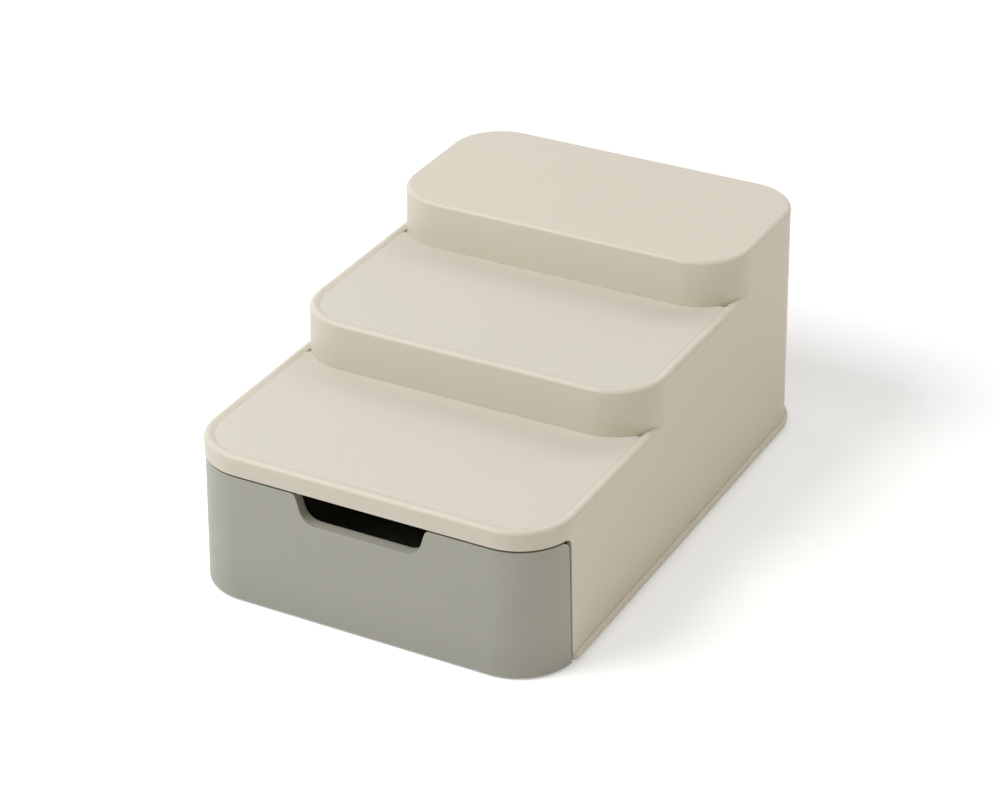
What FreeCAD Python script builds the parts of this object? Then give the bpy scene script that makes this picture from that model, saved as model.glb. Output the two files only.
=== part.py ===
import FreeCAD, Part
import math
import os
import re

import Sketcher

# A tiered condiment caddy: a stepped moulded housing on a base plate, with a drawer under its lowest tier.
# Millimetres, +Z up. The front of the drawer faces -Y, and the origin is the centre of the footprint, on
# the floor. The housing's outline is sized at the seam height, where the drawer's front meets the lip of
# the lowest tier. Every wall leans by the moulding draft from there: outwards below it, inwards above it.

DIMENSIONS = (
    ("body_width", 210.0, "housing width at the seam height"),
    ("body_depth", 322.0, "housing depth at the seam height"),
    ("seam_height", 75.0, "underside of the lip above the drawer"),
    ("draft_angle", 1.05, "moulding draft of all upright walls, degrees"),
    ("corner_radius", 31.5, "plan radius of every outer corner at the seam height"),
    ("low_tread", 85.7, "height of the lowest tier"),
    ("tier_rise", 26.0, "height of each step"),
    ("tier_depth", 105.5, "depth of each open tier"),
    ("edge_radius", 2.4, "rounding of the tiers' upper edges"),
    ("wall", 2.4, "housing wall"),
    ("roof", 2.2, "thickness of the tiers' plates"),
    ("rim_width", 5.2, "raised rim round each mat, with its inner slope"),
    ("rim_slope", 2.0, "width of the rim's inner slope, which runs down to the mat's surface"),
    ("recess_depth", 2.2, "depth of the mats' recesses below the rim"),
    ("recess_run", 20.0, "how far a recess runs on under the next tier"),
    ("mat_thickness", 1.3, "tier mat"),
    ("mat_gap", 0.1, "gap round a mat"),
    ("mat_ear", 10.0, "how far a mat reaches back beside the next tier"),
    ("small_corner", 1.0, "rear plan corners of mats, recesses and the plate's inner outlines"),
    ("opening_depth", 27.0, "how far the opening runs back along the sides, at the seam height"),
    ("opening_lean", 0.5, "backward lean of the opening's edges, degrees"),
    ("opening_radius", 4.5, "upper corner of the opening in the side walls"),
    ("plate_underside", 1.6, "base plate above the floor"),
    ("plate_top", 6.4, "top of the base plate's bead, where the housing stands"),
    ("plate_floor", 2.4, "base plate thickness inside the bead"),
    ("bead_proud", 1.9, "how far the bead stands out from the wall"),
    ("bead_top_chamfer", 1.3, "upper edge of the bead"),
    ("bead_foot_chamfer", 1.0, "lower edge of the bead"),
    ("bead_end_radius", 4.0, "plan radius of the bead's front ends"),
    ("bead_start", 27.9, "bead's front ends behind the housing's front"),
    ("tongue_inset", 2.9, "plate's front part inside the housing's surface"),
    ("tongue_overlap", 30.0, "how far the front part runs back into the plate"),
    ("tongue_top", 5.9, "top of the plate's front part, under the drawer"),
    ("upstand_top", 12.4, "top of the wall that locates the housing"),
    ("upstand_wall", 1.6, "thickness of that wall"),
    ("upstand_gap", 0.25, "gap between that wall and the housing"),
    ("upstand_start", 31.0, "front ends of that wall behind the housing's front"),
    ("guide_inset", 0.45, "room between a side guide and the drawer"),
    ("guide_length", 10.0, "side guide"),
    ("guide_spacing", 110.0, "side guides along the plate"),
    ("runner_offset", 60.0, "runner centres from the middle"),
    ("runner_width", 5.0, "drawer runner"),
    ("runner_start", 8.0, "front ends of the runners behind the housing's front"),
    ("runner_end", 306.0, "rear ends of the runners behind the housing's front"),
    ("runner_top", 6.0, "top of the runners"),
    ("rib_thickness", 1.4, "stiffening ribs"),
    ("rib_top", 5.2, "top of the plate's ribs"),
    ("channel_offset", 20.0, "ribs beside the stop lug's path, from the middle"),
    ("cross_pitch", 56.0, "spacing of the plate's cross ribs"),
    ("stop_width", 30.0, "drawer stop bar and lug"),
    ("stop_length", 4.0, "drawer stop bar and lug"),
    ("stop_top", 5.7, "top of the stop bar"),
    ("lug_underside", 4.5, "underside of the drawer's stop lug"),
    ("lug_setback", 12.0, "front of the lug ahead of the drawer's rear"),
    ("foot_radius", 7.0, "rubber foot"),
    ("foot_seat", 1.0, "how deep a foot is let into the plate"),
    ("foot_gap", 0.15, "room round a foot in its seat"),
    ("foot_spacing_x", 164.0, "feet, centre to centre"),
    ("foot_spacing_y", 262.0, "feet, centre to centre"),
    ("boss_radius", 4.0, "screw boss"),
    ("boss_height", 26.0, "screw boss"),
    ("boss_inset", 22.5, "boss centre from the centre of the rear corner's round"),
    ("gusset_start", 14.0, "underside of the web between boss and corner"),
    ("pilot_radius", 1.25, "hole in a boss"),
    ("pilot_depth", 14.0, "hole in a boss"),
    ("screw_length", 13.0, "screw, under its head"),
    ("screw_radius", 1.45, "screw thread"),
    ("screw_head_radius", 2.8, "screw head"),
    ("screw_head_height", 1.9, "screw head"),
    ("slot_length", 3.2, "each arm-to-arm length of the cross in a screw's head"),
    ("slot_width", 0.8, "width of its arms"),
    ("slot_depth", 1.0, "depth of the cross"),
    ("screw_clearance", 0.25, "room round a screw in the plate"),
    ("well_radius", 3.6, "well for a screw's head"),
    ("well_depth", 2.6, "well for a screw's head"),
    ("seat_radius", 5.0, "plate's raised seat under a boss"),
    ("drawer_inset", 0.4, "drawer front behind the housing's surface"),
    ("drawer_foot", 1.1, "lower edge of the drawer front above the floor"),
    ("drawer_top_gap", 1.3, "gap under the lip"),
    ("drawer_side_gap", 1.2, "gap at the top of the upright seams"),
    ("drawer_lean", 1.1, "backward lean of the drawer front's edges, which narrows the seams, degrees"),
    ("drawer_front_radius", 5.5, "upper rear corners of the drawer front, seen from the side"),
    ("skin", 1.9, "outer skin of the drawer front"),
    ("drawer_rim", 5.9, "width of the drawer front's upper edge"),
    ("bin_wall", 1.9, "drawer walls"),
    ("bin_width", 199.0, "drawer width behind its front"),
    ("bin_rear", 304.5, "drawer's rear wall behind the housing's front"),
    ("bin_corner", 24.0, "plan radius of the drawer's rear corners"),
    ("bin_underside", 6.1, "drawer floor's underside"),
    ("bin_floor", 2.2, "drawer floor"),
    ("bin_top", 71.5, "top of the drawer's side and rear walls"),
    ("bin_draft", 0.6, "draft of the drawer's side and rear walls, degrees"),
    ("bin_chamfer", 2.0, "outer lower edge of the bin"),
    ("floor_chamfer", 3.0, "slope round the drawer's floor, inside"),
    ("notch_flat", 51.6, "straight lower edge of the finger notch"),
    ("notch_depth", 17.3, "finger notch below the seam"),
    ("notch_radius", 9.5, "lower corners of the notch"),
    ("notch_lean", 17.0, "lean of the notch's sides, degrees"),
    ("notch_lip_radius", 3.0, "upper corners of the notch"),
    ("notch_collar", 1.9, "wall round the notch"),
    ("drawer_travel", 220.0, "how far the drawer slides out"),
    ("hold_down_gap", 0.8, "room between the hold-down ribs and the drawer's walls"),
    ("roof_rib_drop", 4.0, "depth of the ribs under the tiers"),
    ("roof_rib_offset", 35.0, "ribs under the tiers, from the middle"),
)

ALIASES = {alias for alias, size, note in DIMENSIONS}
MARGIN = 10.0  # how far a cutting block runs on past what it cuts
LEVEL = 0.9  # least vertical part of a level face's normal
NEAR = 1e-4  # two heights closer than this are the same

doc = FreeCAD.newDocument("tiered_caddy")


def make_sheet():
    dimensions = doc.addObject("Spreadsheet::Sheet", "Dimensions")
    for row, (alias, size, note) in enumerate(DIMENSIONS, start=1):
        dimensions.set(f"A{row}", note)
        dimensions.set(f"B{row}", str(size))
        dimensions.setAlias(f"B{row}", alias)
    doc.recompute()
    return dimensions


sheet = make_sheet()


def formula(text):
    """The sheet's expression for a formula written with the bare names of dimensions."""
    return re.sub(r"[a-z_]+", lambda word: f"Dimensions.{word[0]}" if word[0] in ALIASES else word[0], text)


def number(text):
    """What a formula comes to now."""
    result = sheet.evalExpression(formula(text))
    return float(getattr(result, "Value", result))


def bind(thing, name, text):
    thing.setExpression(name, formula(text))


def new_body(name):
    return doc.addObject("PartDesign::Body", name)


def origin_plane(body, role):
    return next(plane for plane in body.Origin.OriginFeatures if plane.Role == role)


def new_sketch(body, name, role, offset):
    sketch = body.newObject("Sketcher::SketchObject", name)
    sketch.AttachmentSupport = [(origin_plane(body, role), "")]
    sketch.MapMode = "FlatFace"
    bind(sketch, "AttachmentOffset.Base.z", offset)
    return sketch


def constrain(sketch, size, *constraint):
    """Adds a constraint, bound to the formula given as its size unless that is None."""
    if size is None:
        sketch.addConstraint(Sketcher.Constraint(*constraint))
    else:
        index = sketch.addConstraint(Sketcher.Constraint(*constraint, number(size)))
        sketch.setExpression(f"Constraints[{index}]", formula(size))


def corner_arc(corner, before, after, radius):
    """The arc that rounds a corner between two directions, and how much of each side it takes."""
    half = before.getAngle(after) / 2
    middle = (before + after).normalize()
    centre = corner + middle * (radius / math.sin(half))
    spread = math.pi / 2 - half
    facing = math.atan2(-middle.y, -middle.x)
    circle = Part.Circle(centre, FreeCAD.Vector(0, 0, 1), radius)
    return Part.ArcOfCircle(circle, facing - spread, facing + spread), radius / math.tan(half)


def rounded_polygon(body, name, role, offset, corners):
    """A closed, fully constrained sketch with straight sides and rounded corners.

    It lies on one of the body's origin planes, moved out by offset. Each corner, anticlockwise, is
    (x, y, radius) as formulas, and a radius of None leaves it sharp.
    """
    sketch = new_sketch(body, name, role, offset)
    points = [FreeCAD.Vector(number(x), number(y), 0) for x, y, radius in corners]
    total = len(points)
    ahead = [(points[(here + 1) % total] - points[here]).normalize() for here in range(total)]
    rounds = {}
    trims = [0.0] * total
    for here, (x, y, radius) in enumerate(corners):
        if radius is not None:
            size = number(radius)
            rounds[here], trims[here] = corner_arc(points[here], -ahead[here - 1], ahead[here], size)
    for here in range(total):
        there = (here + 1) % total
        start = points[here] + ahead[here] * trims[here]
        end = points[there] - ahead[here] * trims[there]
        sketch.addGeometry(Part.LineSegment(start, end))
    for here, (x, y, radius) in enumerate(corners):
        side = (here - 1) % total
        if radius is None:
            constrain(sketch, None, "Coincident", side, 2, here, 1)
            corner = here
        else:
            arc = sketch.addGeometry(rounds[here])
            corner = sketch.addGeometry(Part.Point(points[here]), True)
            turns_left = ahead[side].cross(ahead[here]).z > 0
            first, last = (1, 2) if turns_left else (2, 1)
            constrain(sketch, None, "Tangent", side, 2, arc, first)
            constrain(sketch, None, "Tangent", arc, last, here, 1)
            constrain(sketch, None, "PointOnObject", corner, 1, side)
            constrain(sketch, None, "PointOnObject", corner, 1, here)
            constrain(sketch, radius, "Radius", arc)
        constrain(sketch, x, "DistanceX", -1, 1, corner, 1)
        constrain(sketch, y, "DistanceY", -1, 1, corner, 1)
    return sketch


def plan_corners(half_width, front, back, front_radius, back_radius):
    """Corners of an outline that is the same to the left and right, seen from above."""
    left = f"-({half_width})"
    return (
        (left, front, front_radius),
        (half_width, front, front_radius),
        (half_width, back, back_radius),
        (left, back, back_radius),
    )


def circle_sketch(body, name, offset, x, y, radius):
    sketch = new_sketch(body, name, "XY_Plane", offset)
    centre = FreeCAD.Vector(number(x), number(y), 0)
    circle = sketch.addGeometry(Part.Circle(centre, FreeCAD.Vector(0, 0, 1), number(radius)))
    constrain(sketch, radius, "Radius", circle)
    constrain(sketch, x, "DistanceX", -1, 1, circle, 3)
    constrain(sketch, y, "DistanceY", -1, 1, circle, 3)
    return sketch


def extrude(body, name, sketch, length, kind="Pad", backwards=False, both_ways=False):
    """Pads or pockets a sketch, and checks that the solid grew or shrank."""
    before = body.Shape.Volume if body.Tip else 0.0
    feature = body.newObject(f"PartDesign::{kind}", name)
    feature.Profile = sketch
    bind(feature, "Length", length)
    feature.Reversed = backwards
    feature.Midplane = both_ways
    doc.recompute()
    change = feature.Shape.Volume - before
    if change == 0 or (change > 0) != (kind == "Pad"):
        raise RuntimeError(f"{name} changed the volume by {change:.1f}")
    return feature


def rectangle(left, right, front, back):
    return ((left, front, None), (right, front, None), (right, back, None), (left, back, None))


def box_pad(body, name, bottom, top, left, right, front, back):
    """A rectangular block on the body, between two heights."""
    sketch = rounded_polygon(body, name + "Outline", "XY_Plane", bottom, rectangle(left, right, front, back))
    return extrude(body, name, sketch, f"{top} - ({bottom})")


def mirror(body, name, features):
    """Repeats features on the other side of the middle plane."""
    feature = body.newObject("PartDesign::Mirrored", name)
    feature.Originals = features
    feature.MirrorPlane = (origin_plane(body, "YZ_Plane"), [""])
    body.Tip = feature
    doc.recompute()
    return feature


def is_wall(face):
    return abs(face.normalAt(*face.Surface.parameter(face.CenterOfMass)).z) < LEVEL


def lean_walls(body, name, angle, height, narrows_down=False):
    """Gives the walls of the body's last feature a draft, measured from the height given."""
    base = body.Tip
    neutral = body.newObject("PartDesign::Plane", name + "Neutral")
    neutral.AttachmentSupport = [(origin_plane(body, "XY_Plane"), "")]
    neutral.MapMode = "FlatFace"
    bind(neutral, "AttachmentOffset.Base.z", height)
    doc.recompute()
    walls = [f"Face{index}" for index, face in enumerate(base.Shape.Faces, start=1) if is_wall(face)]
    feature = body.newObject("PartDesign::Draft", name)
    feature.Base = (base, walls)
    feature.NeutralPlane = (neutral, [""])
    feature.Reversed = narrows_down
    bind(feature, "Angle", angle)
    doc.recompute()
    return feature


def ease_edges(body, name, size, chosen, kind="Fillet"):
    """Rounds or chamfers the edges of the body's last feature for which chosen(edge) is true."""
    base = body.Tip
    names = [f"Edge{index}" for index, edge in enumerate(base.Shape.Edges, start=1) if chosen(edge)]
    feature = body.newObject(f"PartDesign::{kind}", name)
    feature.Base = (base, names)
    bind(feature, "Radius" if kind == "Fillet" else "Size", size)
    doc.recompute()
    return feature


def level_at(height):
    """Chooses the edges that lie level at a height."""
    level = number(height)
    return lambda edge: abs(edge.BoundBox.ZMin - level) < NEAR and abs(edge.BoundBox.ZMax - level) < NEAR


def block(name, bottom, top, corners, angle=None, height=None, narrows_down=False):
    """A body padded from a plan outline, its walls leaning by angle from the height given."""
    body = new_body(name)
    sketch = rounded_polygon(body, name + "Outline", "XY_Plane", bottom, corners)
    extrude(body, name + "Pad", sketch, f"{top} - ({bottom})")
    if angle is not None:
        lean_walls(body, name + "Lean", angle, height, narrows_down)
    return body


def fuse(name, parts):
    result = doc.addObject("Part::MultiFuse", name)
    result.Shapes = parts
    result.Refine = True
    doc.recompute()
    return result


def cut(name, base, tool):
    result = doc.addObject("Part::Cut", name)
    result.Base = base
    result.Tool = tool
    result.Refine = True
    doc.recompute()
    return result


def body_from(name, solid):
    """A body that goes on from a solid made by booleans."""
    body = new_body(name)
    body.BaseFeature = solid
    doc.recompute()
    return body


FRONT = "(-body_depth / 2)"  # the housing's front surface, at the seam height
REAR = "(body_depth / 2)"


def tier_setback(level):
    return f"({level} * tier_depth)"


def tier_height(level):
    return f"(low_tread + {level} * tier_rise)"


def housing_outline(setback, inset):
    """The housing's plan at the seam height, from a tier's front to the rear, moved inwards by inset."""
    return plan_corners(
        f"body_width / 2 - ({inset})",
        f"{FRONT} + {setback} + ({inset})",
        f"{REAR} - ({inset})",
        f"corner_radius - ({inset})",
        f"corner_radius - ({inset})",
    )


TIERS = ("Low", "Middle", "Top")


def tier_block(level):
    """One tier as a solid block with rounded upper edges, and a recess for its mat if it has one.

    The rim round the recess slopes down to the mat's surface.
    """
    name = TIERS[level] + "Tier"
    bottom = "plate_top" if level == 0 else f"{tier_height(level - 1)} - {MARGIN}"
    top = tier_height(level)
    body = block(name, bottom, top, housing_outline(tier_setback(level), "0"), "draft_angle", "seam_height")
    ease_edges(body, name + "Edge", "edge_radius", level_at(top))
    if level < len(TIERS) - 1:
        corners = mat_corners(level, "0", "recess_run")
        sketch = rounded_polygon(body, name + "RecessOutline", "XY_Plane", top, corners)
        extrude(body, name + "Recess", sketch, "recess_depth", "Pocket")
        slope_rim(body, name + "RimSlope", level_at(top), sketch.Shape.BoundBox)
    return body


def slope_rim(body, name, is_level, recess):
    """Slopes the upper edges that lie within the recess's bounds down to the mat's surface."""
    recess.enlarge(NEAR)
    slope = ease_edges(
        body, name, "rim_slope", lambda edge: is_level(edge) and recess.isInside(edge.BoundBox), "Chamfer",
    )
    slope.ChamferType = "Two distances"
    bind(slope, "Size2", "recess_depth - mat_thickness")
    doc.recompute()


def mat_corners(level, gap, run):
    """Plan of the recess inside a tier's rim, or of its mat, with a gap all round."""
    inset = f"(rim_width + ({tier_height(level)} - seam_height) * tan(draft_angle) + {gap})"
    return plan_corners(
        f"body_width / 2 - {inset}",
        f"{FRONT} + {tier_setback(level)} + {inset}",
        f"{FRONT} + {tier_setback(level + 1)} + {run} - {gap}",
        f"corner_radius - {inset}",
        "small_corner",
    )


def tier_cavity(level):
    """The hollow under one tier, down past the housing's foot."""
    recess = "recess_depth" if level < len(TIERS) - 1 else "0"
    top = f"{tier_height(level)} - {recess} - roof"
    outline = housing_outline(tier_setback(level), "wall")
    return block(TIERS[level] + "Cavity", "0", top, outline, "draft_angle", "seam_height")


BOSS_X = "(body_width / 2 - corner_radius + boss_inset * cos(45))"
BOSS_Y = "(body_depth / 2 - corner_radius + boss_inset * sin(45))"


def add_boss(body):
    """A screw boss in each rear corner, tied to the corner by a web above the plate's upstand."""
    sketch = circle_sketch(body, "BossOutline", "plate_top", BOSS_X, BOSS_Y, "boss_radius")
    boss = extrude(body, "Boss", sketch, "boss_height")
    reach = "(corner_radius - wall / 2 - boss_inset) * cos(45)"
    across = "rib_thickness * cos(45) / 2"
    near_x, near_y = BOSS_X, BOSS_Y
    corners = (
        (f"{near_x} + {across}", f"{near_y} - {across}", None),
        (f"{near_x} + {reach} + {across}", f"{near_y} + {reach} - {across}", None),
        (f"{near_x} + {reach} - {across}", f"{near_y} + {reach} + {across}", None),
        (f"{near_x} - {across}", f"{near_y} + {across}", None),
    )
    sketch = rounded_polygon(body, "GussetOutline", "XY_Plane", "gusset_start", corners)
    gusset = extrude(body, "Gusset", sketch, "plate_top + boss_height - gusset_start")
    mirror(body, "BossPair", [boss, gusset])
    sketch = circle_sketch(body, "PilotOutline", "plate_top", BOSS_X, BOSS_Y, "pilot_radius")
    pilot = extrude(body, "Pilot", sketch, "pilot_depth", "Pocket", backwards=True)
    mirror(body, "PilotPair", [pilot])


def add_housing_ribs(body):
    """Ribs that keep the drawer from tipping, and ribs that stiffen the plates of the tiers."""
    roof = f"{tier_height(0)} - recess_depth - roof / 2"
    outer = "bin_width / 2 - bin_wall / 2 + rib_thickness / 2"
    hold_down = box_pad(
        body, "HoldDown", "bin_top + hold_down_gap", roof,
        f"{outer} - rib_thickness", outer, f"{FRONT} + upstand_start", f"{FRONT} + tier_depth",
    )
    ribs = [hold_down]
    for level, tier in enumerate(TIERS):
        recess = "recess_depth" if level < len(TIERS) - 1 else "0"
        roof = f"{tier_height(level)} - {recess} - roof"
        back = f"{FRONT} + {tier_setback(level + 1)}" if level < len(TIERS) - 1 else f"{REAR} - wall / 2"
        ribs.append(box_pad(
            body, tier + "Rib", f"{roof} - roof_rib_drop", f"{roof} + roof / 2",
            "roof_rib_offset - rib_thickness / 2", "roof_rib_offset + rib_thickness / 2",
            f"{FRONT} + {tier_setback(level)} + wall / 2", back,
        ))
    mirror(body, "RibPairs", ribs)


def make_housing():
    outside = fuse("TierBlocks", [tier_block(level) for level in range(len(TIERS))])
    inside = fuse("TierCavities", [tier_cavity(level) for level in range(len(TIERS))])
    body = body_from("stepped_housing", cut("TierShell", outside, inside))
    add_housing_ribs(body)
    seam = f"{FRONT} + opening_depth"
    ahead = f"{FRONT} - {MARGIN}"
    corners = (
        (ahead, f"-{MARGIN}", None),
        (f"{seam} + (seam_height + {MARGIN}) * tan(opening_lean)", f"-{MARGIN}", None),
        (seam, "seam_height", "opening_radius"),
        (ahead, "seam_height", None),
    )
    sketch = rounded_polygon(body, "OpeningSide", "YZ_Plane", "0", corners)
    extrude(body, "Opening", sketch, "body_width * 2", "Pocket", both_ways=True)
    add_boss(body)
    return body


def make_mat(level, name):
    """A mat that fills its recess and follows the rounded front of the next tier."""
    bottom = f"{tier_height(level)} - recess_depth"
    outline = mat_corners(level, "mat_gap", "mat_ear")
    blank = block(name + "_blank", bottom, f"{bottom} + mat_thickness", outline)
    riser = block(
        name + "_riser", f"{bottom} - {MARGIN}", f"{bottom} + {MARGIN}",
        housing_outline(tier_setback(level + 1), "-mat_gap"), "draft_angle", "seam_height",
    )
    return cut(name, blank, riser)


FOOT_SPREAD = "(seam_height - plate_top) * tan(draft_angle)"  # the walls' lean at the housing's foot
CROSS_RIBS = (-2, -1, 0, 1, 2)  # the plate's cross ribs, counted in pitches from its middle
SIDE_GUIDES = (-1, 0, 1)  # the drawer's side guides, counted in spacings from the plate's middle


def plate_outline(inset, start, start_radius):
    """The base plate's plan, inset from the foot of the housing's walls."""
    edge = f"({FOOT_SPREAD} - ({inset}))"
    return plan_corners(
        f"body_width / 2 + {edge}",
        start,
        f"{REAR} + {edge}",
        start_radius,
        f"corner_radius + {edge}",
    )


def add_plate_floor_details(body):
    """Runners, ribs, side guides, boss seats and stop bar, rooted in the plate's floor."""
    floor = "plate_underside + plate_floor / 2"
    front, back = f"{FRONT} + runner_start", f"{FRONT} + runner_end"
    runner = box_pad(
        body, "Runner", floor, "runner_top",
        "runner_offset - runner_width / 2", "runner_offset + runner_width / 2", front, back,
    )
    channel = box_pad(
        body, "ChannelRib", floor, "rib_top",
        "channel_offset - rib_thickness / 2", "channel_offset + rib_thickness / 2", front, back,
    )
    sides = [runner, channel]
    wall_face = f"body_width / 2 + {FOOT_SPREAD} - wall - upstand_gap - upstand_wall"
    for order, step in enumerate(CROSS_RIBS, start=1):
        middle = f"{step} * cross_pitch"
        sides.append(box_pad(
            body, f"CrossRib{order}", floor, "rib_top", "channel_offset", f"{wall_face} + upstand_wall / 2",
            f"{middle} - rib_thickness / 2", f"{middle} + rib_thickness / 2",
        ))
    lean = "(bin_top - upstand_top) * tan(bin_draft)"
    for order, step in enumerate(SIDE_GUIDES, start=1):
        middle = f"{step} * guide_spacing"
        sides.append(box_pad(
            body, f"SideGuide{order}", floor, "upstand_top",
            f"bin_width / 2 - {lean} + guide_inset", f"{wall_face} + upstand_wall / 2",
            f"{middle} - guide_length / 2", f"{middle} + guide_length / 2",
        ))
    seat = circle_sketch(body, "SeatOutline", floor, BOSS_X, BOSS_Y, "seat_radius")
    sides.append(extrude(body, "Seat", seat, f"plate_top - ({floor})"))
    mirror(body, "FloorPairs", sides)
    rear_face = f"{FRONT} + bin_rear - lug_setback - drawer_travel"
    box_pad(
        body, "StopBar", floor, "stop_top", "-stop_width / 2", "stop_width / 2",
        f"{rear_face} - stop_length", rear_face,
    )


def add_plate_wells(body):
    """Seats for the feet and wells and holes for the screws, cut from below."""
    wells = []
    for end, side in (("Front", "-"), ("Rear", "")):
        seat = circle_sketch(
            body, end + "FootSeatOutline", "plate_underside",
            "foot_spacing_x / 2", f"{side}foot_spacing_y / 2", "foot_radius + foot_gap",
        )
        wells.append(extrude(body, end + "FootSeat", seat, "foot_seat", "Pocket", backwards=True))
    well = circle_sketch(body, "WellOutline", "plate_underside", BOSS_X, BOSS_Y, "well_radius")
    wells.append(extrude(body, "Well", well, "well_depth", "Pocket", backwards=True))
    bore = "screw_radius + screw_clearance"
    hole = circle_sketch(body, "HoleOutline", "plate_underside", BOSS_X, BOSS_Y, bore)
    wells.append(extrude(body, "Hole", hole, "plate_top - plate_underside", "Pocket", backwards=True))
    mirror(body, "WellPairs", wells)


def make_base_plate():
    bead = plate_outline("-bead_proud", f"{FRONT} + bead_start", "bead_end_radius")
    body = block("base_plate", "plate_underside", "plate_top", bead)
    ease_edges(body, "BeadTop", "bead_top_chamfer", level_at("plate_top"), "Chamfer")
    ease_edges(body, "BeadFoot", "bead_foot_chamfer", level_at("plate_underside"), "Chamfer")
    tongue_front = f"{FRONT} - {FOOT_SPREAD} + tongue_inset"
    tongue = plan_corners(
        f"body_width / 2 + {FOOT_SPREAD} - tongue_inset",
        tongue_front,
        f"{FRONT} + bead_start + tongue_overlap",
        f"corner_radius + {FOOT_SPREAD} - tongue_inset",
        "small_corner",
    )
    sketch = rounded_polygon(body, "TongueOutline", "XY_Plane", "plate_underside", tongue)
    extrude(body, "Tongue", sketch, "tongue_top - plate_underside")
    upstand = plate_outline("wall + upstand_gap", f"{FRONT} + upstand_start", "small_corner")
    sketch = rounded_polygon(body, "UpstandOutline", "XY_Plane", "plate_top", upstand)
    extrude(body, "Upstand", sketch, "upstand_top - plate_top")
    inner_face = "wall + upstand_gap + upstand_wall"
    inside = plate_outline(inner_face, f"{tongue_front} + upstand_wall", "corner_radius")
    sketch = rounded_polygon(body, "InsideOutline", "XY_Plane", "upstand_top", inside)
    extrude(body, "Inside", sketch, "upstand_top - plate_underside - plate_floor", "Pocket")
    add_plate_floor_details(body)
    add_plate_wells(body)
    return body


DRAWER_TOP = "(seam_height - drawer_top_gap)"
SHOULDER = "(opening_depth - drawer_side_gap)"  # how far the drawer front's sides run back, at the top
NOTCH_BOTTOM = "(seam_height - notch_depth)"


def drawer_front_block(name, inset, bottom, top):
    """A block whose front and sides follow the housing's rounded front, inset from its surface."""
    edge = f"(drawer_inset + {inset})"
    outline = plan_corners(
        f"body_width / 2 - {edge}",
        f"{FRONT} + {edge}",
        f"{FRONT} + {SHOULDER} + {MARGIN}",
        f"corner_radius - {edge}",
        None,
    )
    return block(name, bottom, top, outline, "draft_angle", "seam_height")


def drawer_front_solid(name, inset, bottom):
    """The drawer's front as a solid, inset on every side.

    Its upper rear edge is rounded where the shoulder of the front meets the opening of the housing.
    """
    body = drawer_front_block(name, inset, bottom, "seam_height")
    shoulder, top = f"{FRONT} + {SHOULDER} - {inset}", f"{DRAWER_TOP} - {inset}"
    ahead, behind = f"{FRONT} - {MARGIN}", f"{FRONT} + {SHOULDER} + 2 * {MARGIN}"
    under, over = f"-{MARGIN}", f"seam_height + {MARGIN}"
    corners = (
        (f"{shoulder} + ({top} - ({under})) * tan(drawer_lean)", under, None),
        (behind, under, None),
        (behind, over, None),
        (ahead, over, None),
        (ahead, top, None),
        (shoulder, top, f"drawer_front_radius - {inset}"),
    )
    sketch = rounded_polygon(body, name + "Shoulder", "YZ_Plane", "0", corners)
    extrude(body, name + "Cut", sketch, "body_width * 2", "Pocket", both_ways=True)
    return body


def bin_outline(inset):
    """The plan of the drawer's bin at its top, where its front wall backs the drawer's front."""
    return plan_corners(
        f"bin_width / 2 - {inset}",
        f"{FRONT} + drawer_inset + drawer_rim - bin_wall + {inset}",
        f"{FRONT} + bin_rear - {inset}",
        f"corner_radius - drawer_inset - drawer_rim + bin_wall - {inset}",
        f"bin_corner - {inset}",
    )


def notch_corners(growth, top):
    """The finger notch seen from the front, or the collar round it where growth is its thickness."""
    bottom = f"({NOTCH_BOTTOM} - {growth})"
    radius = f"(notch_radius + {growth})"
    foot = f"(notch_flat / 2 + {radius} * tan(45 - notch_lean / 2))"
    head = f"({foot} + ({top} - {bottom}) * tan(notch_lean))"
    return foot, head, bottom, radius


def notch_collar():
    """The solid wall round the notch, from the front's skin to the bin."""
    body = new_body("NotchCollar")
    top = f"({DRAWER_TOP} - skin / 2)"
    foot, head, bottom, radius = notch_corners("notch_collar", top)
    corners = (
        (f"-{foot}", bottom, radius),
        (foot, bottom, radius),
        (head, top, None),
        (f"-{head}", top, None),
    )
    front = f"{FRONT} + drawer_inset + skin / 2"
    sketch = rounded_polygon(body, "CollarOutline", "XZ_Plane", f"-({front})", corners)
    extrude(body, "Collar", sketch, "drawer_rim - bin_wall / 2 - skin / 2", backwards=True)
    return body


def drawer_bin():
    """The drawer's bin as a solid block, and the hollow to be cut from it."""
    outside = block("BinBlock", "bin_underside", "bin_top", bin_outline("0"), "bin_draft", "bin_top", True)
    ease_edges(outside, "BinFoot", "bin_chamfer", level_at("bin_underside"), "Chamfer")
    floor, over = "bin_underside + bin_floor", f"seam_height + {MARGIN}"
    inside = block("BinHollow", floor, over, bin_outline("bin_wall"), "bin_draft", "bin_top", True)
    ease_edges(inside, "BinFloor", "floor_chamfer", level_at(floor), "Chamfer")
    return outside, inside


def cut_notch(body):
    """The finger notch through both walls of the front, with rounded lips where it meets the top."""
    foot, head, bottom, radius = notch_corners("0", DRAWER_TOP)
    over = f"seam_height + {MARGIN}"
    side = f"{head} + {MARGIN}"
    corners = (
        (f"-{foot}", bottom, radius),
        (foot, bottom, radius),
        (head, DRAWER_TOP, "notch_lip_radius"),
        (side, DRAWER_TOP, None),
        (side, over, None),
        (f"-({side})", over, None),
        (f"-({side})", DRAWER_TOP, None),
        (f"-{head}", DRAWER_TOP, "notch_lip_radius"),
    )
    sketch = rounded_polygon(body, "NotchOutline", "XZ_Plane", f"-({FRONT} - {MARGIN})", corners)
    extrude(body, "Notch", sketch, f"{MARGIN} * 2", "Pocket")


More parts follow.
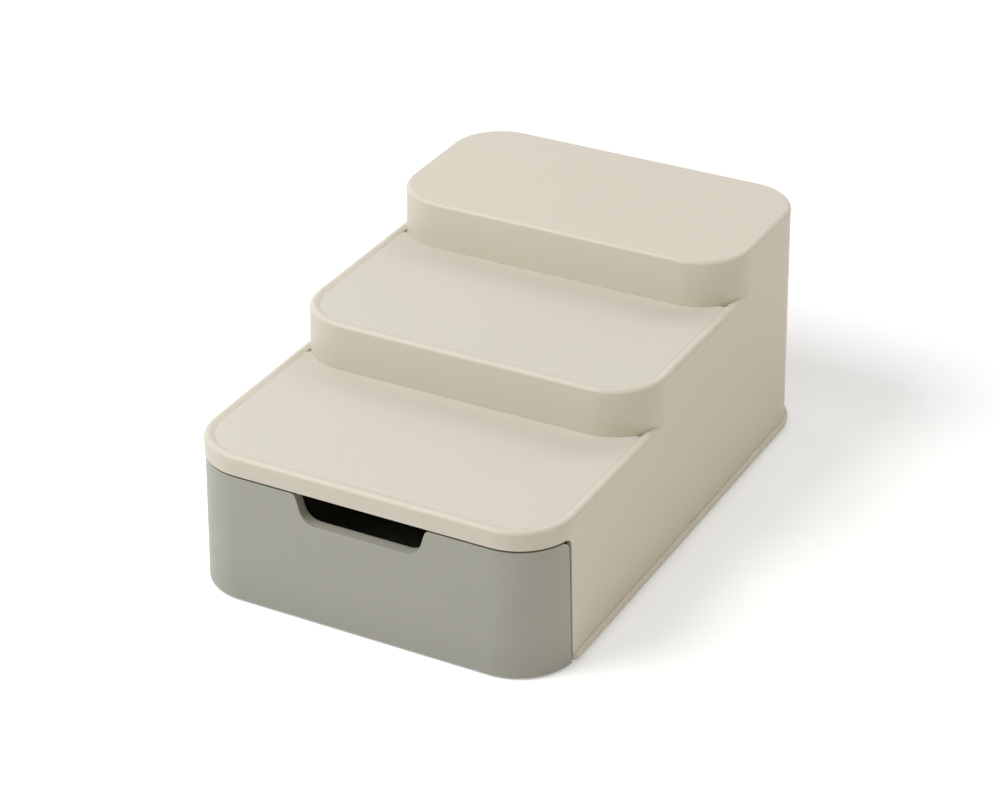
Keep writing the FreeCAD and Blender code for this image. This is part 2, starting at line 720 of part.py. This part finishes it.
def make_drawer():
    front = drawer_front_solid("DrawerFront", "0", "drawer_foot")
    hollow = drawer_front_solid("FrontHollow", "skin", "0")
    tongue_space = drawer_front_block("TongueSpace", "skin", "0", "bin_underside")
    shell = cut("FrontShell", front, fuse("FrontSpaces", [hollow, tongue_space]))
    outside, inside = drawer_bin()
    walls = fuse("DrawerWalls", [shell, outside, notch_collar()])
    body = body_from("drawer", cut("DrawerShell", walls, inside))
    cut_notch(body)
    catch = f"{FRONT} + bin_rear - lug_setback"
    box_pad(
        body, "StopLug", "lug_underside", "bin_underside + bin_floor / 2",
        "-stop_width / 2", "stop_width / 2", catch, f"{catch} + stop_length",
    )
    return body


def revolve(body, name, x, y, corners):
    """A solid of revolution about an upright axis at x, y, from a profile given as radius and height."""
    sketch = rounded_polygon(body, name + "Profile", "XZ_Plane", f"-({y})", corners)
    bind(sketch, "AttachmentOffset.Base.x", x)
    doc.recompute()
    feature = body.newObject("PartDesign::Revolution", name)
    feature.Profile = sketch
    feature.ReferenceAxis = (sketch, ["V_Axis"])
    feature.Angle = 360
    doc.recompute()
    return feature


def make_foot(name):
    """A rubber disc that sits in its seat under the base plate."""
    body = new_body(name)
    top = "plate_underside + foot_seat"
    corners = (
        ("0", "0", None),
        ("foot_radius", "0", None),
        ("foot_radius", top, None),
        ("0", top, None),
    )
    revolve(body, "Disc", "0", "0", corners)
    return body


def make_screws():
    """The two screws that hold the plate to the bosses: blunt, with a cross recess in the head, below."""
    body = new_body("base_screws")
    body.AllowCompound = True
    seat = "(plate_underside + well_depth)"
    tip = f"({seat} + screw_length)"
    under = f"({seat} - screw_head_height)"
    corners = (
        ("0", under, None),
        ("screw_head_radius", under, None),
        ("screw_head_radius", seat, None),
        ("screw_radius", seat, None),
        ("screw_radius", tip, None),
        ("0", tip, None),
    )
    features = [revolve(body, "Screw", BOSS_X, BOSS_Y, corners)]
    arms = (("SlotAlong", "slot_length", "slot_width"), ("SlotAcross", "slot_width", "slot_length"))
    for name, along_x, along_y in arms:
        arm = rectangle(
            f"{BOSS_X} - {along_x} / 2", f"{BOSS_X} + {along_x} / 2",
            f"{BOSS_Y} - {along_y} / 2", f"{BOSS_Y} + {along_y} / 2",
        )
        sketch = rounded_polygon(body, name + "Outline", "XY_Plane", under, arm)
        features.append(extrude(body, name, sketch, "slot_depth", "Pocket", backwards=True))
    mirror(body, "ScrewPair", features)
    return body


# The origin is the middle of the footprint, from the foot of the drawer's front to the rear of the bead.
FOREMOST = f"({FRONT} + drawer_inset - (seam_height - drawer_foot) * tan(draft_angle))"
REARMOST = f"({REAR} + {FOOT_SPREAD} + bead_proud)"
SHIFT = f"-({FOREMOST} + {REARMOST}) / 2"


def place(piece, name, x="0", y="0"):
    """Names a finished piece and moves it into the frame of the whole caddy."""
    piece.Label = name
    bind(piece, "Placement.Base.x", x)
    bind(piece, "Placement.Base.y", f"{SHIFT} + {y}")
    return piece


def make_pieces():
    pieces = [
        place(make_housing(), "stepped_housing"),
        place(make_drawer(), "drawer"),
        place(make_base_plate(), "base_plate"),
        place(make_mat(0, "LowMat"), "lower_tier_mat"),
        place(make_mat(1, "MiddleMat"), "middle_tier_mat"),
        place(make_screws(), "base_screws"),
    ]
    for end, y in (("front", "-foot_spacing_y / 2"), ("rear", "foot_spacing_y / 2")):
        for side, x in (("left", "-foot_spacing_x / 2"), ("right", "foot_spacing_x / 2")):
            name = f"foot_{end}_{side}"
            pieces.append(place(make_foot(name), name, x, y))
    doc.recompute()
    return pieces


def export(pieces):
    """Writes each piece, once the whole document is sound."""
    failed = [thing.Name for thing in doc.Objects if {"Invalid", "Error"} & set(thing.State)]
    broken = [piece.Label for piece in pieces if piece.Shape.isNull() or not piece.Shape.isValid()]
    if failed or broken:
        raise RuntimeError(f"not sound: {failed} {broken}")
    os.makedirs("parts", exist_ok=True)
    for piece in pieces:
        box = piece.Shape.optimalBoundingBox()
        print(f"{piece.Label}: {len(piece.Shape.Solids)} solids, {piece.Shape.Volume:.0f} mm3, {box}")
        piece.Shape.exportStep(f"parts/{piece.Label}.step")


export(make_pieces())
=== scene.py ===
import math

import bpy
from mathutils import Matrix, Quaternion, Vector

# The caddy's looks: plastics with a fine moulded grain, softly rounded edges, and a plain white studio.
# Metres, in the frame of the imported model: +Z up, the drawer's front faces -Y.

MM = 0.001

# The camera, as seen from the front right: where it looks, from how far, and its angles round the object.
CAMERA_TARGET = (7.62 * MM, -26.22 * MM, 69.0 * MM)
CAMERA_DISTANCE = 1.5284
CAMERA_AZIMUTH = 27.91
CAMERA_ELEVATION = 29.48
CAMERA_ROLL = -0.096
LENS = 103.35
SENSOR = 36.0

# Colours as written, in linear light.
HOUSING_COLOUR = (0.740, 0.684, 0.575)
MAT_COLOUR = (0.722, 0.681, 0.598)
DRAWER_COLOUR = (0.428, 0.422, 0.364)
FOOT_COLOUR = (0.36, 0.35, 0.32)
STEEL_COLOUR = (0.62, 0.62, 0.60)
FLOOR_COLOUR = (0.9, 0.9, 0.9)

# Roughness of each surface, and the size of its grain: cells per metre and height.
HOUSING_ROUGHNESS = 0.46
BASE_ROUGHNESS = 0.48
DRAWER_ROUGHNESS = 0.42
MAT_ROUGHNESS = 0.62
FOOT_ROUGHNESS = 0.7
ROUGHNESS_SPREAD = 0.05
PLASTIC_GRAIN = 2600.0
BASE_GRAIN = 2400.0
RUBBER_GRAIN = 1800.0
PLASTIC_GRAIN_HEIGHT = 0.02 * MM
RUBBER_GRAIN_HEIGHT = 0.04 * MM

# Variation over a moulded surface: flow clouds, specks and faint waves. Scales are cells per metre.
CLOUD_SCALE = 9.0
CLOUD_SPREAD = 0.02
SPECK_SPREAD = 0.012
WAVE_SCALE = 35.0
WAVE_HEIGHT = 0.06 * MM

# Painted highlight on the edges: how much paler (a painted highlight) and glossier they are, from less to
# more in patches, how far it reaches, and the turn of the surface (the cosine of an angle) at which it is
# full.
PAINTED_HIGHLIGHT_SCALE = 180.0
PAINTED_HIGHLIGHT_RANGE = (0.02, 0.08)
PAINTED_HIGHLIGHT_RADIUS = 1.2 * MM
PAINTED_HIGHLIGHT_FULL_TURN = 0.8
PAINTED_HIGHLIGHT_SAMPLES = 4

# Painted shade in creases: how much darker each material is painted there, and from how far away a
# neighbour makes a crease.
HOUSING_PAINTED_SHADE = 0.14
DRAWER_PAINTED_SHADE = 0.25
MAT_PAINTED_SHADE = 0.22
PAINTED_SHADE_REACH = 30.0 * MM
PAINTED_SHADE_SAMPLES = 6

# The steel's machining marks and its dull patches.
MARK_SCALE = 5000.0
MARK_HEIGHT = 0.01 * MM
PATCH_SCALE = 400.0
PATCH_SHADES = (0.88, 1.08)
STEEL_GLOSS_SCALE = 700.0
STEEL_ROUGHNESS = (0.22, 0.42)

# The softboxes: bearing and height round the caddy in degrees, power in watts and colour.
LIGHT_TARGET = (0.0, 0.0, 70.0 * MM)
LIGHT_DISTANCE = 2.2
SOFTBOX_SIZE = 1.2
WHITE = (1.0, 1.0, 1.0)
WARM = (1.0, 0.88, 0.5)
SOFTBOXES = (
    ("key", -45.0, 50.0, 34.0, WHITE),
    ("right", 90.0, 25.0, 7.2, WHITE),
    ("left", -120.0, 25.0, 6.8, WHITE),
    ("rear", 180.0, 50.0, 6.6, WHITE),
    ("rear_right", 150.0, 25.0, 6.0, WHITE),
    ("front", 0.0, 50.0, 6.5, WHITE),
    ("right_low", 75.0, 14.0, 4.6, WARM),
)

# The floor glows a little to the camera, so that it shows white and still takes the caddy's shadow.
# The glow grows with the distance from the caddy, as the lamps' light on the floor falls off.
FLOOR_HALF = 3.0
FLOOR_LEVEL = -0.1 * MM
FLOOR_GLOW_NEAR = 0.35
FLOOR_GLOW_FAR = 1.0
GLOW_START = 0.5
GLOW_END = 1.8

# The small rounding of sharp edges. The drawer and the base plate are rounder than the rest.
EDGE_WIDTH = 0.35 * MM
EDGE_WIDTHS = {"drawer": 0.7 * MM, "base_plate": 0.7 * MM}
EDGE_ANGLE = math.radians(28)
EDGE_SEGMENTS = 3
NORMAL_WEIGHT = 80
WELD_DISTANCE = 0.002 * MM


class Graph:
    """A material's nodes, with short calls to add and join them."""

    def __init__(self, name):
        self.material = bpy.data.materials.new(name)
        self.material.use_nodes = True
        self.tree = self.material.node_tree
        self.shader = self.tree.nodes["Principled BSDF"]
        self.coordinates = self.add("ShaderNodeTexCoord").outputs["Object"]

    def add(self, kind, **settings):
        node = self.tree.nodes.new(kind)
        for key, value in settings.items():
            setattr(node, key, value)
        return node

    def join(self, start, end):
        self.tree.links.new(start, end)

    def noise(self, scale, detail=2.0, roughness=0.5):
        """Cloudy noise from 0 to 1, with so many cells per metre."""
        node = self.add("ShaderNodeTexNoise")
        node.inputs["Scale"].default_value = scale
        node.inputs["Detail"].default_value = detail
        node.inputs["Roughness"].default_value = roughness
        self.join(self.coordinates, node.inputs["Vector"])
        return node.outputs["Fac"]

    def spread(self, value, low, high):
        """Maps 0 to 1 onto low to high."""
        node = self.add("ShaderNodeMapRange")
        node.inputs["To Min"].default_value = low
        node.inputs["To Max"].default_value = high
        self.join(value, node.inputs["Value"])
        return node.outputs["Result"]

    def bump(self, height, distance, below=None):
        """A relief as high as distance, on top of another one if it is given."""
        node = self.add("ShaderNodeBump")
        node.inputs["Distance"].default_value = distance
        node.inputs["Strength"].default_value = 1.0
        self.join(height, node.inputs["Height"])
        if below is not None:
            self.join(below, node.inputs["Normal"])
        return node.outputs["Normal"]

    def arithmetic(self, operation, first, second):
        """A sum, difference or product of two sockets, or of a socket and a number."""
        node = self.add("ShaderNodeMath", operation=operation)
        for socket, value in zip(node.inputs, (first, second)):
            if isinstance(value, float):
                socket.default_value = value
            else:
                self.join(value, socket)
        return node.outputs["Value"]

    def tint(self, colour, factor):
        """A colour made lighter or darker by a factor that varies over the surface."""
        node = self.add("ShaderNodeMix", data_type="RGBA", blend_type="MULTIPLY")
        node.inputs["Factor"].default_value = 1.0
        node.inputs["A"].default_value = (*colour, 1.0)
        self.join(factor, node.inputs["B"])
        return node.outputs["Result"]

    def painted_shade_openness(self, reach):
        """1 where nothing stands near, and less in creases, where shade is painted."""
        node = self.add("ShaderNodeAmbientOcclusion", samples=PAINTED_SHADE_SAMPLES)
        node.inputs["Distance"].default_value = reach
        return node.outputs["AO"]

    def edges(self, radius):
        """0 on open faces and towards 1 on edges and corners, where the highlight is painted and the gloss
        is raised.
        """
        rounded = self.add("ShaderNodeBevel", samples=PAINTED_HIGHLIGHT_SAMPLES)
        rounded.inputs["Radius"].default_value = radius
        surface = self.add("ShaderNodeNewGeometry")
        turn = self.add("ShaderNodeVectorMath", operation="DOT_PRODUCT")
        self.join(rounded.outputs["Normal"], turn.inputs[0])
        self.join(surface.outputs["Normal"], turn.inputs[1])
        mask = self.add("ShaderNodeMapRange")
        mask.inputs["From Min"].default_value = 1.0
        mask.inputs["From Max"].default_value = PAINTED_HIGHLIGHT_FULL_TURN
        self.join(turn.outputs["Value"], mask.inputs["Value"])
        return mask.outputs["Result"]


def moulded_plastic(name, colour, roughness, grain, grain_height, painted_shade):
    """Satin moulded plastic: fine grain, faint flow clouds, uneven gloss, glossier edges with a painted
    highlight, painted shade in creases.
    """
    graph = Graph(name)
    # Painted shade: the colour is darker in creases, by how near other surfaces stand.
    painted_crease_shade = graph.spread(graph.painted_shade_openness(PAINTED_SHADE_REACH), 1.0 - painted_shade, 1.0)
    patchy = graph.spread(graph.noise(PAINTED_HIGHLIGHT_SCALE, 3.0), *PAINTED_HIGHLIGHT_RANGE)
    # Painted highlight: edges are paler in patches, and the same mask makes them glossier.
    painted_highlight_and_gloss = graph.arithmetic("MULTIPLY", graph.edges(PAINTED_HIGHLIGHT_RADIUS), patchy)
    clouds = graph.spread(graph.noise(CLOUD_SCALE, 3.0), 1.0 - CLOUD_SPREAD, 1.0 + CLOUD_SPREAD)
    specks = graph.spread(graph.noise(grain / 2.0, 1.0), -SPECK_SPREAD, SPECK_SPREAD)
    shade = graph.arithmetic("ADD", graph.arithmetic("ADD", clouds, specks), painted_highlight_and_gloss)
    shade = graph.arithmetic("MULTIPLY", shade, painted_crease_shade)
    graph.join(graph.tint(colour, shade), graph.shader.inputs["Base Color"])
    gloss = graph.noise(grain / 4.0)
    gloss = graph.spread(gloss, roughness - ROUGHNESS_SPREAD, roughness + ROUGHNESS_SPREAD)
    gloss = graph.arithmetic("SUBTRACT", gloss, painted_highlight_and_gloss)
    graph.join(gloss, graph.shader.inputs["Roughness"])
    fine = graph.bump(graph.noise(grain, 3.0, 0.6), grain_height)
    waves = graph.bump(graph.noise(WAVE_SCALE, 1.0), WAVE_HEIGHT, below=fine)
    graph.join(waves, graph.shader.inputs["Normal"])
    return graph.material


def turned_steel(name, colour):
    """Bright steel with fine machining marks and a few dull patches."""
    graph = Graph(name)
    graph.shader.inputs["Metallic"].default_value = 1.0
    marks = graph.bump(graph.noise(MARK_SCALE), MARK_HEIGHT)
    patches = graph.spread(graph.noise(PATCH_SCALE), *PATCH_SHADES)
    gloss = graph.spread(graph.noise(STEEL_GLOSS_SCALE, 3.0), *STEEL_ROUGHNESS)
    graph.join(graph.tint(colour, patches), graph.shader.inputs["Base Color"])
    graph.join(gloss, graph.shader.inputs["Roughness"])
    graph.join(marks, graph.shader.inputs["Normal"])
    return graph.material


def soften(node):
    """Welds a CAD node's faces together, rounds its sharp edges a little and shades its curves smoothly."""
    weld = node.modifiers.new("weld", "WELD")
    weld.merge_threshold = WELD_DISTANCE
    bevel = node.modifiers.new("edges", "BEVEL")
    bevel.width = EDGE_WIDTHS.get(node.name, EDGE_WIDTH)
    bevel.segments = EDGE_SEGMENTS
    bevel.limit_method = "ANGLE"
    bevel.angle_limit = EDGE_ANGLE
    normals = node.modifiers.new("normals", "WEIGHTED_NORMAL")
    normals.keep_sharp = False
    normals.weight = NORMAL_WEIGHT


def paint(nodes, material):
    """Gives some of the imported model's nodes a material."""
    for name in nodes:
        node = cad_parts[name]
        node.data.materials.clear()
        node.data.materials.append(material)


def direction(azimuth, elevation):
    """From the caddy towards a bearing: 0 is in front of the drawer, 90 is to the right of it."""
    azimuth, elevation = math.radians(azimuth), math.radians(elevation)
    across = math.cos(elevation)
    return Vector((math.sin(azimuth) * across, -math.cos(azimuth) * across, math.sin(elevation)))


def make_camera():
    """The camera that the photograph was matched with."""
    data = bpy.data.cameras.new("camera")
    data.lens = LENS
    data.sensor_width = SENSOR
    camera = bpy.data.objects.new("camera", data)
    back = direction(CAMERA_AZIMUTH, CAMERA_ELEVATION)
    roll = Quaternion((0.0, 0.0, 1.0), math.radians(CAMERA_ROLL))
    camera.location = Vector(CAMERA_TARGET) + back * CAMERA_DISTANCE
    camera.rotation_mode = "QUATERNION"
    camera.rotation_quaternion = (-back).to_track_quat("-Z", "Y") @ roll
    bpy.context.scene.collection.objects.link(camera)
    bpy.context.scene.camera = camera


def add_softbox(name, azimuth, elevation, power, colour):
    """A large round softbox that faces the caddy."""
    data = bpy.data.lights.new(name, "AREA")
    data.shape = "DISK"
    data.size = SOFTBOX_SIZE
    data.energy = power
    data.color = colour
    light = bpy.data.objects.new(name, data)
    away = direction(azimuth, elevation)
    light.location = Vector(LIGHT_TARGET) + away * LIGHT_DISTANCE
    light.rotation_mode = "QUATERNION"
    light.rotation_quaternion = (-away).to_track_quat("-Z", "Y")
    bpy.context.scene.collection.objects.link(light)


def seen_directly(tree):
    """1 for rays that show a surface to the eye, straight or by gloss or glass, and 0 for the rest."""
    path = tree.nodes.new("ShaderNodeLightPath")
    value = path.outputs["Is Camera Ray"]
    for output in ("Is Glossy Ray", "Is Transmission Ray"):
        either = tree.nodes.new("ShaderNodeMath")
        either.operation = "MAXIMUM"
        tree.links.new(value, either.inputs[0])
        tree.links.new(path.outputs[output], either.inputs[1])
        value = either.outputs["Value"]
    return value


def make_studio():
    """Softboxes round the caddy, and a white surround that shows behind it and in its gloss."""
    world = bpy.data.worlds.new("studio")
    world.use_nodes = True
    tree = world.node_tree
    background = tree.nodes["Background"]
    background.inputs["Color"].default_value = (1.0, 1.0, 1.0, 1.0)
    tree.links.new(seen_directly(tree), background.inputs["Strength"])
    bpy.context.scene.world = world
    for name, azimuth, elevation, power, colour in SOFTBOXES:
        add_softbox(name, azimuth, elevation, power, colour)


def make_floor():
    """A pale matt floor that the lamps light, with a little glow so that it shows white."""
    mesh = bpy.data.meshes.new("floor")
    corners = [(-1, -1), (1, -1), (1, 1), (-1, 1)]
    mesh.from_pydata([(x * FLOOR_HALF, y * FLOOR_HALF, 0.0) for x, y in corners], [], [(0, 1, 2, 3)])
    floor = bpy.data.objects.new("floor", mesh)
    floor.location.z = FLOOR_LEVEL
    bpy.context.scene.collection.objects.link(floor)
    graph = Graph("floor")
    shader = graph.shader
    shader.inputs["Base Color"].default_value = (*FLOOR_COLOUR, 1.0)
    shader.inputs["Roughness"].default_value = 1.0
    shader.inputs["Specular IOR Level"].default_value = 0.0
    shader.inputs["Emission Color"].default_value = (1.0, 1.0, 1.0, 1.0)
    distance = graph.add("ShaderNodeVectorMath", operation="LENGTH")
    graph.join(graph.coordinates, distance.inputs[0])
    glow = graph.add("ShaderNodeMapRange", interpolation_type="SMOOTHSTEP")
    glow.inputs["From Min"].default_value = GLOW_START
    glow.inputs["From Max"].default_value = GLOW_END
    glow.inputs["To Min"].default_value = FLOOR_GLOW_NEAR
    glow.inputs["To Max"].default_value = FLOOR_GLOW_FAR
    graph.join(distance.outputs["Value"], glow.inputs["Value"])
    shown = graph.arithmetic("MULTIPLY", seen_directly(graph.tree), glow.outputs["Result"])
    graph.join(shown, shader.inputs["Emission Strength"])
    mesh.materials.append(graph.material)


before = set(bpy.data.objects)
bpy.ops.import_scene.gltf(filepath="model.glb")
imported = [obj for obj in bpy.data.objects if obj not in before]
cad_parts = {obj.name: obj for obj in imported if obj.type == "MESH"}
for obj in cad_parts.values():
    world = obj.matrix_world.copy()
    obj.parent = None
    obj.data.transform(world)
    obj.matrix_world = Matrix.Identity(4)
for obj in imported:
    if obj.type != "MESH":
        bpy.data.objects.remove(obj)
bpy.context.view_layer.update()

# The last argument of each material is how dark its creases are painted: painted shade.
housing_plastic = moulded_plastic("housing_plastic", HOUSING_COLOUR, HOUSING_ROUGHNESS, PLASTIC_GRAIN,
                                  PLASTIC_GRAIN_HEIGHT, HOUSING_PAINTED_SHADE)
base_plastic = moulded_plastic("base_plastic", HOUSING_COLOUR, BASE_ROUGHNESS, BASE_GRAIN,
                               PLASTIC_GRAIN_HEIGHT, HOUSING_PAINTED_SHADE)
drawer_plastic = moulded_plastic("drawer_plastic", DRAWER_COLOUR, DRAWER_ROUGHNESS, PLASTIC_GRAIN,
                                 PLASTIC_GRAIN_HEIGHT, DRAWER_PAINTED_SHADE)
mat_rubber = moulded_plastic("mat_rubber", MAT_COLOUR, MAT_ROUGHNESS, RUBBER_GRAIN,
                             RUBBER_GRAIN_HEIGHT, MAT_PAINTED_SHADE)
foot_rubber = moulded_plastic("foot_rubber", FOOT_COLOUR, FOOT_ROUGHNESS, RUBBER_GRAIN,
                              RUBBER_GRAIN_HEIGHT, HOUSING_PAINTED_SHADE)
screw_steel = turned_steel("screw_steel", STEEL_COLOUR)
paint(["stepped_housing"], housing_plastic)
paint(["base_plate"], base_plastic)
paint(["drawer"], drawer_plastic)
paint(["lower_tier_mat", "middle_tier_mat"], mat_rubber)
paint([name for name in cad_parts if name.startswith("foot_")], foot_rubber)
paint(["base_screws"], screw_steel)
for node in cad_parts.values():
    soften(node)

make_camera()
make_studio()
make_floor()

scene = bpy.context.scene
scene.view_settings.view_transform = "Standard"
